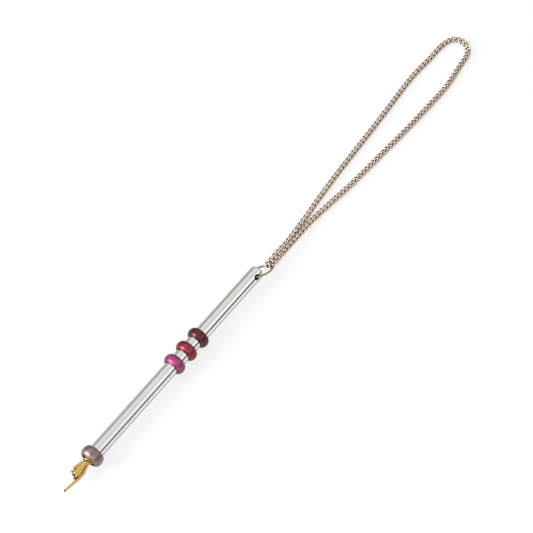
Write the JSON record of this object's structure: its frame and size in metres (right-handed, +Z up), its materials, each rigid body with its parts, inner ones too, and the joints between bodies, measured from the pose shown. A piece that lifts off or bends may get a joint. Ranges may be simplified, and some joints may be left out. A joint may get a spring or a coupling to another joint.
{
  "type": "torah pointer",
  "caption": "Slim torah pointer with a small pointing hand at one end, domed rings round its rod and a curb chain loop on a jump ring at the other.",
  "frame": {"origin": "centre of the footprint of the pointer and its laid-out chain, on the table it lies on", "axes": "+X along the rod from the hand towards the chain, +Z up"},
  "size_m": [0.4642, 0.0298, 0.0158],
  "materials": {
    "silver_rod": "polished",
    "gold": "polished, gold-plated",
    "mauve": "anodised, polished",
    "pink": "anodised, polished",
    "red": "anodised, polished",
    "plum": "anodised, polished",
    "chain_metal": "polished"
  },
  "bodies": {
    "pointer": {"rod": "silver_rod", "hand": "gold", "cuff": "gold", "end_ring": "mauve", "pink_ring": "pink", "red_ring": "red", "plum_ring": "plum"},
    "jump_ring": {"jump_ring": "chain_metal"},
    "chain_1": {"chain_1_left": "chain_metal", "chain_1_right": "chain_metal"},
    "chain_2": {"chain_2_left": "chain_metal", "chain_2_right": "chain_metal"},
    "chain_3": {"chain_3_left": "chain_metal", "chain_3_right": "chain_metal"},
    "chain_4": {"chain_4_left": "chain_metal", "chain_4_right": "chain_metal"},
    "chain_5": {"chain_5_left": "chain_metal", "chain_5_right": "chain_metal"},
    "chain_6": {"chain_6_left": "chain_metal", "chain_6_right": "chain_metal"},
    "chain_7": {"chain_7_left": "chain_metal", "chain_7_right": "chain_metal"},
    "chain_8": {"chain_8_end": "chain_metal"}
  },
  "joints": [
    {"name": "ring_swing", "type": "hinge", "parent": "pointer", "child": "jump_ring", "pos_m": [-0.03137, -0.00056, 0.0079], "axis": [0, -0.766, 0.6428], "range_deg": [0, 100]},
    {"name": "chain_swing", "type": "hinge", "parent": "jump_ring", "child": "chain_1", "pos_m": [-0.01574, -0.00326, 0.00468], "axis": [0, -0.766, 0.6428], "range_deg": [0, 45]},
    {"name": "chain_fold_1", "type": "hinge", "parent": "chain_1", "child": "chain_2", "pos_m": [0.01414, -0.00222, 0.00356], "axis": [0.0062, -0.8584, 0.513], "range_deg": [0, 20]},
    {"name": "chain_fold_2", "type": "hinge", "parent": "chain_2", "child": "chain_3", "pos_m": [0.04492, -0.00091, 0.00236], "axis": [0.019, -0.9998, 0.0033], "range_deg": [0, 20]},
    {"name": "chain_fold_3", "type": "hinge", "parent": "chain_3", "child": "chain_4", "pos_m": [0.07566, -0.00093, 0.00202], "axis": [0.0106, -0.9987, -0.0489], "range_deg": [0, 20]},
    {"name": "chain_fold_4", "type": "hinge", "parent": "chain_4", "child": "chain_5", "pos_m": [0.10648, -0.00085, 0.00202], "axis": [0.0088, -0.9992, -0.0388], "range_deg": [0, 20]},
    {"name": "chain_fold_5", "type": "hinge", "parent": "chain_5", "child": "chain_6", "pos_m": [0.1373, -0.00078, 0.00202], "axis": [0.0075, -0.9995, -0.0315], "range_deg": [0, 20]},
    {"name": "chain_fold_6", "type": "hinge", "parent": "chain_6", "child": "chain_7", "pos_m": [0.16813, -0.00001, 0.00202], "axis": [0.0099, -0.9996, -0.0272], "range_deg": [0, 20]},
    {"name": "chain_fold_7", "type": "hinge", "parent": "chain_7", "child": "chain_8", "pos_m": [0.19896, 0.00047, 0.00202], "axis": [0.0087, -0.9996, -0.0283], "range_deg": [0, 20]}
  ]
}
